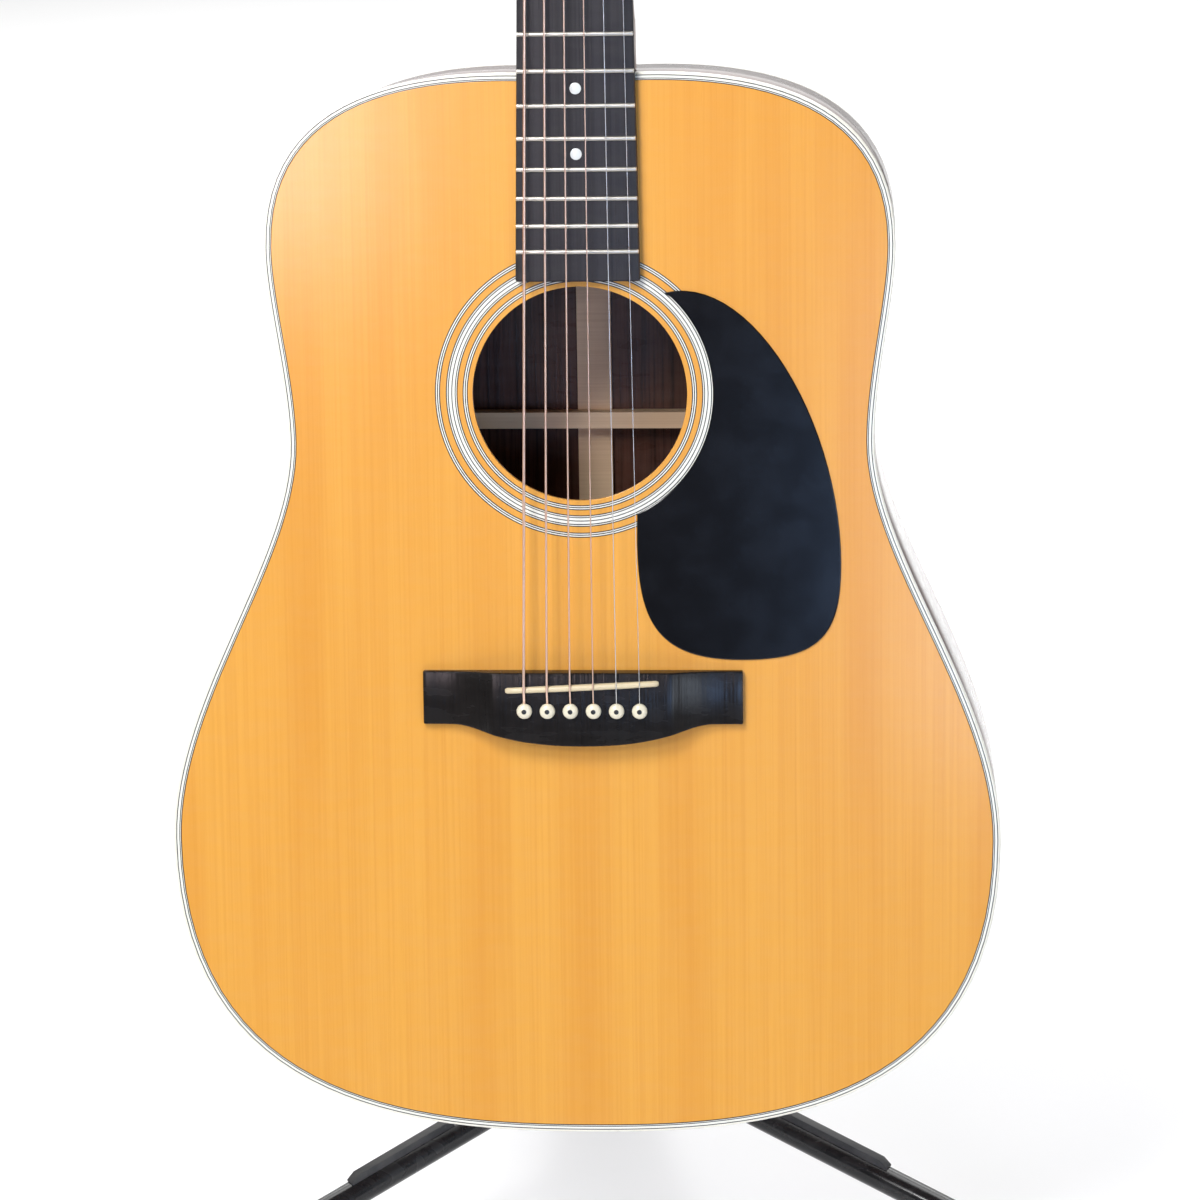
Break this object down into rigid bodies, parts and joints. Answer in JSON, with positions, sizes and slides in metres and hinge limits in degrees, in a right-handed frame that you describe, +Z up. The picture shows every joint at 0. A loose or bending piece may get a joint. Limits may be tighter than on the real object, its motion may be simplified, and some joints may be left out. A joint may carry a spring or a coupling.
{
  "type": "guitar on stand",
  "caption": "Flat-top acoustic guitar with a dreadnought-shaped body, hanging by its headstock in a padded yoke on a folding black tripod stand.",
  "frame": {"origin": "middle of the footprint, on the floor under the rubber feet", "axes": "+Z up, +X towards the treble side (right when facing the soundboard), +Y towards the back of the stand; the guitar leans back 8 degrees"},
  "size_m": [0.5534, 0.5194, 1.1521],
  "materials": {
    "spruce_top": "aged spruce under clear gloss lacquer",
    "rosewood": "dark straight grain under gloss lacquer",
    "ivory_binding": "polished ivory-white plastic",
    "purfling_lines": "thin white and black lines under lacquer",
    "cedar_lining": "bare sawn cedar",
    "mahogany": "satin, open straight grain",
    "brace_spruce": "bare planed spruce",
    "maple": "bare planed maple",
    "plain_steel": "plain rod",
    "ebony": "oiled, fine open pores, satin",
    "nickel_frets": "polished nickel silver",
    "pearl": "pearl disc with soft colour shift",
    "bone": "polished bone",
    "pin_plastic": "polished cream pins with a dark dot",
    "bronze_strings": "wound bronze, two plain steel",
    "guard_plastic": "smooth black sheet with light scuffs",
    "tuner_chrome": "polished plated die casting",
    "stand_plastic": "moulded black with a fine grain",
    "stand_metal": "gloss black powder coat",
    "stand_rubber": "matte dark rubber",
    "stand_foam": "fine-celled black foam sleeve"
  },
  "bodies": {
    "stand": {"leg_hub": "stand_plastic", "column_tube": "stand_metal", "height_clamp": "stand_plastic", "rest_arm": "stand_metal", "rest_pads": "stand_foam"},
    "upper_stand": {"column_rod": "stand_metal", "yoke": "stand_metal"},
    "clamp_knob": {"clamp_knob": "stand_plastic"},
    "left_leg": {"leg_left": "stand_metal", "leg_pad_left": "stand_rubber", "foot_left": "stand_rubber"},
    "right_leg": {"leg_right": "stand_metal", "leg_pad_right": "stand_rubber", "foot_right": "stand_rubber"},
    "rear_leg": {"leg_rear": "stand_metal", "leg_pad_rear": "stand_rubber", "foot_rear": "stand_rubber"},
    "key_1": {"tuner_key_1": "tuner_chrome"},
    "post_1": {"tuner_post_1": "tuner_chrome"},
    "key_2": {"tuner_key_2": "tuner_chrome"},
    "post_2": {"tuner_post_2": "tuner_chrome"},
    "key_3": {"tuner_key_3": "tuner_chrome"},
    "post_3": {"tuner_post_3": "tuner_chrome"},
    "key_4": {"tuner_key_4": "tuner_chrome"},
    "post_4": {"tuner_post_4": "tuner_chrome"},
    "key_5": {"tuner_key_5": "tuner_chrome"},
    "post_5": {"tuner_post_5": "tuner_chrome"},
    "key_6": {"tuner_key_6": "tuner_chrome"},
    "post_6": {"tuner_post_6": "tuner_chrome"},
    "guitar": {"soundboard": "spruce_top", "back_plate": "rosewood", "rim_bass": "rosewood", "rim_treble": "rosewood", "bindings": "ivory_binding", "purfling": "purfling_lines", "rosette": "purfling_lines", "tail_graft": "ivory_binding", "linings": "cedar_lining", "neck_block": "mahogany", "tail_block": "mahogany", "x_brace": "brace_spruce", "top_braces": "brace_spruce", "bridge_plate": "maple", "back_braces": "brace_spruce", "neck": "mahogany", "heel_cap": "ivory_binding", "truss_rod": "plain_steel", "fingerboard": "ebony", "frets": "nickel_frets", "position_dots": "pearl", "nut": "bone", "headstock_veneer": "rosewood", "bridge": "ebony", "saddle": "bone", "bridge_pins": "pin_plastic", "strings": "bronze_strings", "pickguard": "guard_plastic", "end_pin": "ebony", "tuner_housings": "tuner_chrome", "tuner_bushings": "tuner_chrome"}
  },
  "joints": [
    {"name": "left_leg_fold", "type": "hinge", "parent": "stand", "child": "left_leg", "pos_m": [-0.04088, -0.07745, 0.09367], "axis": [0.5721, -0.8202, 0], "range_deg": [0, 70]},
    {"name": "right_leg_fold", "type": "hinge", "parent": "stand", "child": "right_leg", "pos_m": [0.01779, -0.07242, 0.09367], "axis": [0.4242, 0.9056, 0], "range_deg": [0, 70]},
    {"name": "rear_leg_fold", "type": "hinge", "parent": "stand", "child": "rear_leg", "pos_m": [-0.0159, -0.02412, 0.09367], "axis": [-0.9963, -0.0854, 0], "range_deg": [0, 70]},
    {"name": "height_slide", "type": "slide", "parent": "stand", "child": "upper_stand", "axis": [0, 0, 1], "range_m": [0, 0.12]},
    {"name": "clamp_knob_turn", "type": "hinge", "parent": "stand", "child": "clamp_knob", "pos_m": [-0.013, -0.038, 0.533], "axis": [0, 1, 0], "range_deg": [0, 540]},
    {"name": "guitar_lift", "type": "slide", "parent": "upper_stand", "child": "guitar", "axis": [0, -0.7001, 0.7141], "range_m": [0, 0.25]},
    {"name": "key_1_turn", "type": "hinge", "parent": "guitar", "child": "key_1", "pos_m": [0.0065, -0.10505, 1.0368], "axis": [1, 0, 0], "continuous": true},
    {"name": "post_1_turn", "type": "hinge", "parent": "guitar", "child": "post_1", "pos_m": [0.0065, -0.12061, 1.03406], "axis": [0, -0.9205, 0.3907], "continuous": true},
    {"name": "key_2_turn", "type": "hinge", "parent": "guitar", "child": "key_2", "pos_m": [0.0065, -0.08942, 1.07362], "axis": [1, 0, 0], "continuous": true},
    {"name": "post_2_turn", "type": "hinge", "parent": "guitar", "child": "post_2", "pos_m": [0.0065, -0.10498, 1.07088], "axis": [0, -0.9205, 0.3907], "continuous": true},
    {"name": "key_3_turn", "type": "hinge", "parent": "guitar", "child": "key_3", "pos_m": [0.0065, -0.07379, 1.11044], "axis": [1, 0, 0], "continuous": true},
    {"name": "post_3_turn", "type": "hinge", "parent": "guitar", "child": "post_3", "pos_m": [0.0065, -0.08935, 1.1077], "axis": [0, -0.9205, 0.3907], "continuous": true},
    {"name": "key_4_turn", "type": "hinge", "parent": "guitar", "child": "key_4", "pos_m": [-0.0325, -0.07379, 1.11044], "axis": [-1, 0, 0], "continuous": true},
    {"name": "post_4_turn", "type": "hinge", "parent": "guitar", "child": "post_4", "pos_m": [-0.0325, -0.08935, 1.1077], "axis": [0, -0.9205, 0.3907], "continuous": true},
    {"name": "key_5_turn", "type": "hinge", "parent": "guitar", "child": "key_5", "pos_m": [-0.0325, -0.08942, 1.07362], "axis": [-1, 0, 0], "continuous": true},
    {"name": "post_5_turn", "type": "hinge", "parent": "guitar", "child": "post_5", "pos_m": [-0.0325, -0.10498, 1.07088], "axis": [0, -0.9205, 0.3907], "continuous": true},
    {"name": "key_6_turn", "type": "hinge", "parent": "guitar", "child": "key_6", "pos_m": [-0.0325, -0.10505, 1.0368], "axis": [-1, 0, 0], "continuous": true},
    {"name": "post_6_turn", "type": "hinge", "parent": "guitar", "child": "post_6", "pos_m": [-0.0325, -0.12061, 1.03406], "axis": [0, -0.9205, 0.3907], "continuous": true}
  ],
  "couplings": [
    {"joint": "post_1_turn", "follows": "key_1_turn", "ratio": 0.066667},
    {"joint": "post_2_turn", "follows": "key_2_turn", "ratio": 0.066667},
    {"joint": "post_3_turn", "follows": "key_3_turn", "ratio": 0.066667},
    {"joint": "post_4_turn", "follows": "key_4_turn", "ratio": 0.066667},
    {"joint": "post_5_turn", "follows": "key_5_turn", "ratio": 0.066667},
    {"joint": "post_6_turn", "follows": "key_6_turn", "ratio": 0.066667}
  ]
}
